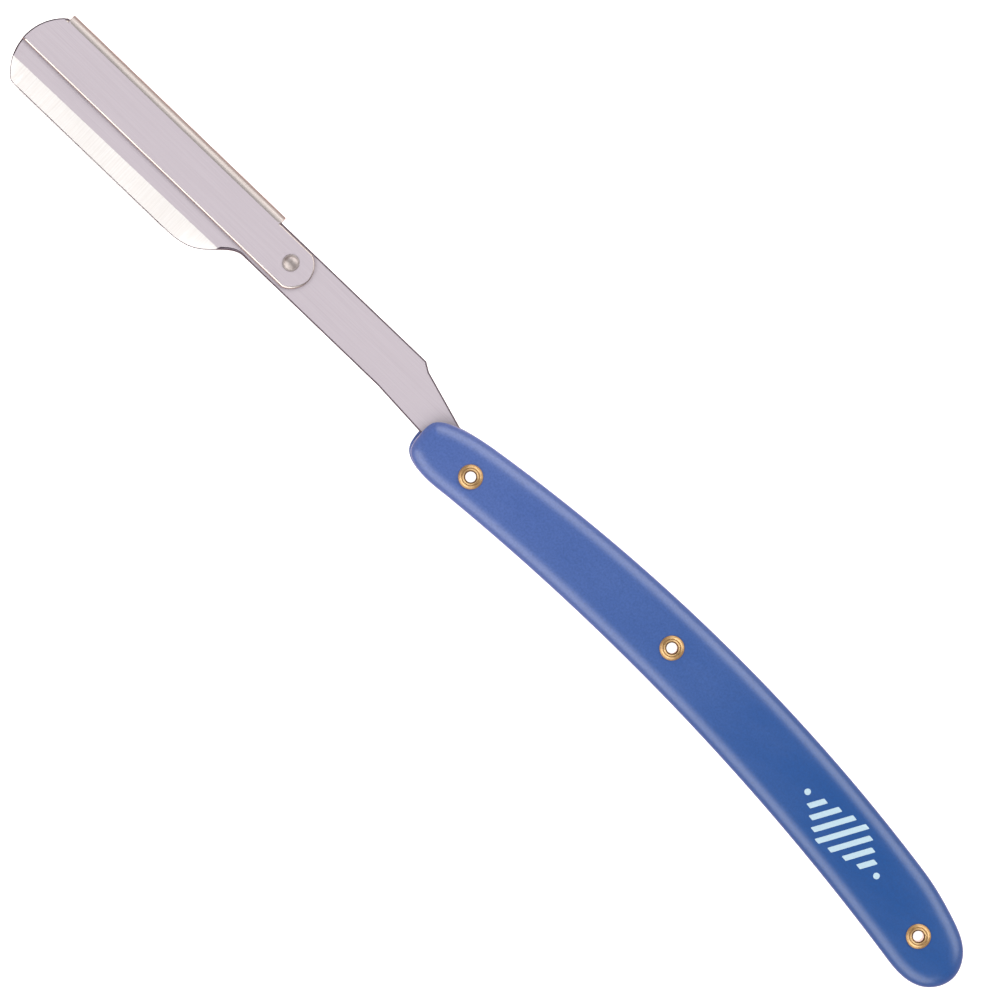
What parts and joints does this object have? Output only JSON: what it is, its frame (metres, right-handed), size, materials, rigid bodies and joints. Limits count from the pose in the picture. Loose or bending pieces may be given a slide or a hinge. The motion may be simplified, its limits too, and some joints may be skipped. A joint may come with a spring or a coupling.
{
  "type": "straight razor",
  "caption": "Folding barber's razor for a half blade: steel tang plate with a swing-lock clamp cover, curved plastic scales and hollow brass rivets.",
  "frame": {"origin": "on the pivot's axis, half way between the two scales", "axes": "+X from the pivot to the end rivet, along the handle; +Y to the side of the spine and of the handle's bowed back; +Z along the rivets, to the front scale"},
  "size_m": [0.2479, 0.0226, 0.009],
  "materials": {
    "blue_plastic": "satin gloss",
    "brass": "bright, lightly worn",
    "satin_steel": "satin, fine grain along the head",
    "rivet_steel": "bright, pressed",
    "blade_steel": "polished, ground edge",
    "spacer_plastic": "moulded"
  },
  "bodies": {
    "handle": {"front_scale": "blue_plastic", "back_scale": "blue_plastic", "pivot_tube_rivet": "brass", "middle_tube_rivet": "brass", "end_tube_rivet": "brass", "pivot_front_collar": "brass", "pivot_back_collar": "brass", "middle_front_collar": "brass", "middle_back_collar": "brass", "end_front_collar": "brass", "end_back_collar": "brass", "pivot_front_washer": "brass", "pivot_back_washer": "brass", "middle_spacer": "spacer_plastic", "tail_wedge": "spacer_plastic"},
    "blade_arm": {"tang_plate": "satin_steel", "blade_locating_studs": "rivet_steel", "half_blade": "blade_steel"},
    "cover": {"clamp_cover": "satin_steel", "clamp_rivet": "rivet_steel"}
  },
  "joints": [
    {"name": "blade_fold", "type": "hinge", "parent": "handle", "child": "blade_arm", "pos_m": [0, 0, 0], "axis": [0, 0, 1], "range_deg": [-90, 179]},
    {"name": "clamp_swing", "type": "hinge", "parent": "blade_arm", "child": "cover", "pos_m": [-0.05222, 0.00386, 0], "axis": [0, 0, -1], "range_deg": [0, 108]}
  ]
}
